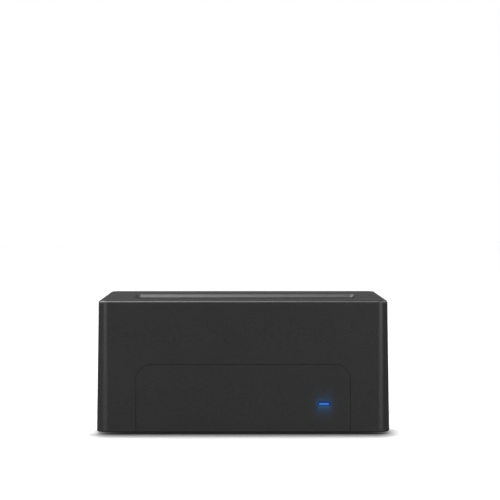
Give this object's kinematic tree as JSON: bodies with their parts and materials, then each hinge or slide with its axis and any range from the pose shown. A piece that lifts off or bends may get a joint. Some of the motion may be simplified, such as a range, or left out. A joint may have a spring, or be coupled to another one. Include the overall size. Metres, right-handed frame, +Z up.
{
  "type": "hard drive docking station",
  "caption": "Low box-shaped desktop dock with a long slot in its top, a sprung flap over a deep drive bay, and a flush arched front panel with a small status light.",
  "frame": {"origin": "on the table, under the middle of the housing's foot", "axes": "+X to the right as the front is seen, -Y out of the front, +Z up"},
  "size_m": [0.134, 0.08, 0.061],
  "materials": {
    "shell_plastic": "fine moulded texture, charcoal",
    "inner_plastic": "plain moulding, black",
    "flap_plastic": "satin moulding, black",
    "clear_pipe": "clear, lit blue from behind",
    "lit_diode": "clear blue epoxy, lit",
    "plain_steel": "tin plate",
    "dark_steel": "black zinc plate",
    "spring_steel": "drawn wire",
    "board_laminate": "green solder mask",
    "socket_plastic": "moulded black",
    "blue_plastic": "moulded blue",
    "gilt_contacts": "gilt",
    "rocker_plastic": "moulded black, white marks",
    "chip_resin": "moulding resin",
    "can_aluminium": "drawn can",
    "foot_rubber": "matt"
  },
  "bodies": {
    "dock": {"upper_housing": "shell_plastic", "front_panel": "shell_plastic", "base_cover": "inner_plastic", "drive_bay": "inner_plastic", "light_pipe": "clear_pipe", "status_led": "lit_diode", "status_led_wires": "plain_steel", "flap_hinge_pin": "plain_steel", "flap_spring_left": "spring_steel", "flap_spring_right": "spring_steel", "main_board": "board_laminate", "sata_receptacle": "socket_plastic", "sata_contacts": "gilt_contacts", "usb_shell": "plain_steel", "usb_insert": "blue_plastic", "usb_contacts": "gilt_contacts", "dc_jack_body": "socket_plastic", "dc_jack_pin": "gilt_contacts", "dc_jack_tabs": "plain_steel", "switch_case": "socket_plastic", "switch_tabs": "plain_steel", "bridge_chip": "chip_resin", "bridge_chip_leads": "plain_steel", "flash_chip": "chip_resin", "regulator_chips": "chip_resin", "small_chip_leads": "plain_steel", "power_inductors": "chip_resin", "bulk_capacitor_1": "can_aluminium", "bulk_capacitor_2": "can_aluminium", "bulk_capacitor_3": "can_aluminium", "crystal": "can_aluminium", "small_passives": "chip_resin", "cover_screws": "dark_steel", "board_screws": "plain_steel", "bay_screws": "plain_steel", "rubber_foot_front_left": "foot_rubber", "rubber_foot_front_right": "foot_rubber", "rubber_foot_rear_left": "foot_rubber", "rubber_foot_rear_right": "foot_rubber"},
    "flap": {"slot_flap": "flap_plastic"},
    "rocker": {"switch_rocker": "rocker_plastic"}
  },
  "joints": [
    {"name": "flap_swing", "type": "hinge", "parent": "dock", "child": "flap", "pos_m": [0, -0.0241, 0.0546], "axis": [-1, 0, 0], "range_deg": [0, 90], "stiffness_Nm_per_rad": 0.003, "springref_deg": -45.84, "deforming": ["flap_spring_left", "flap_spring_right"]},
    {"name": "rocker_tilt", "type": "hinge", "parent": "dock", "child": "rocker", "pos_m": [-0.024, 0.03576, 0.0179], "axis": [0, 0, -1], "range_deg": [0, 18]}
  ]
}
